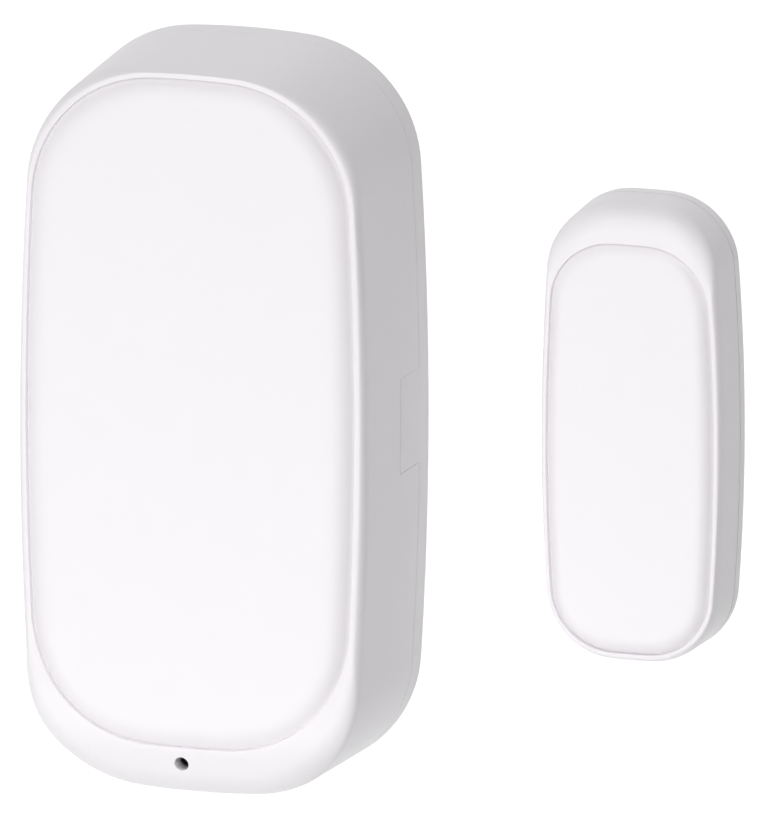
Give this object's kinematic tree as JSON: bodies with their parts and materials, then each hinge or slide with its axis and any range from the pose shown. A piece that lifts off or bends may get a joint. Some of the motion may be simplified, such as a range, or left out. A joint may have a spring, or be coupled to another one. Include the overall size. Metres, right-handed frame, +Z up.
{
  "type": "door window sensor",
  "caption": "Battery door and window contact sensor: a tall white sensor unit with a pillow-shaped front, and a smaller magnet unit that stands beside it.",
  "frame": {"origin": "middle of the back of the sensor unit's adhesive pad, where it meets the door frame", "axes": "+Y into the wall, so the front faces -Y; +Z up along the units; +X from the sensor to the magnet unit"},
  "size_m": [0.0657, 0.0192, 0.07],
  "materials": {
    "case_abs": "moulded, softly glossy",
    "pad_foam": "closed-cell foam",
    "board_laminate": "green solder mask",
    "module_laminate": "dark blue solder mask",
    "screw_steel": "zinc plated",
    "cradle_plastic": "moulded",
    "cell_sleeve": "printed sleeve, left bare of print",
    "contact_nickel": "nickel plated",
    "shield_tin": "tin plated",
    "reed_tube_glass": "clear green glass",
    "reed_lead_metal": "tinned",
    "switch_steel": "stamped cover",
    "plunger_plastic": "moulded",
    "led_resin": "clear resin over white",
    "chip_epoxy": "moulded epoxy",
    "capacitor_aluminium": "drawn can",
    "magnet_nickel": "nickel plated"
  },
  "bodies": {
    "wall_cover": {"sensor_rear_cover": "case_abs", "sensor_adhesive_pad": "pad_foam"},
    "front_case": {"sensor_front_housing": "case_abs", "circuit_board": "board_laminate", "board_screws": "screw_steel", "battery_cradle": "cradle_plastic", "battery_cell_left": "cell_sleeve", "battery_cell_right": "cell_sleeve", "positive_contact": "contact_nickel", "negative_spring": "contact_nickel", "bridge_contact": "contact_nickel", "radio_module_board": "module_laminate", "radio_shield_can": "shield_tin", "reed_glass": "reed_tube_glass", "reed_blade_upper": "reed_lead_metal", "reed_blade_lower": "reed_lead_metal", "reset_switch_body": "switch_steel", "status_led": "led_resin", "voltage_regulator": "chip_epoxy", "bulk_capacitor": "capacitor_aluminium", "chip_resistors": "chip_epoxy"},
    "reset_plunger": {"reset_switch_plunger": "plunger_plastic"},
    "magnet_unit": {"magnet_front_housing": "case_abs", "magnet_rear_cover": "case_abs", "bar_magnet": "magnet_nickel", "magnet_adhesive_pad": "pad_foam"}
  },
  "joints": [
    {"name": "case_pull_off", "type": "slide", "parent": "wall_cover", "child": "front_case", "axis": [0, -1, 0], "range_m": [0, 0.03]},
    {"name": "reset_press", "type": "slide", "parent": "front_case", "child": "reset_plunger", "axis": [0, 1, 0], "range_m": [0, 0.00025], "stiffness_N_per_m": 600, "springref_m": -0.0003},
    {"name": "magnet_travel", "type": "slide", "parent": "wall_cover", "child": "magnet_unit", "axis": [1, 0, 0], "range_m": [0, 0.04]}
  ]
}
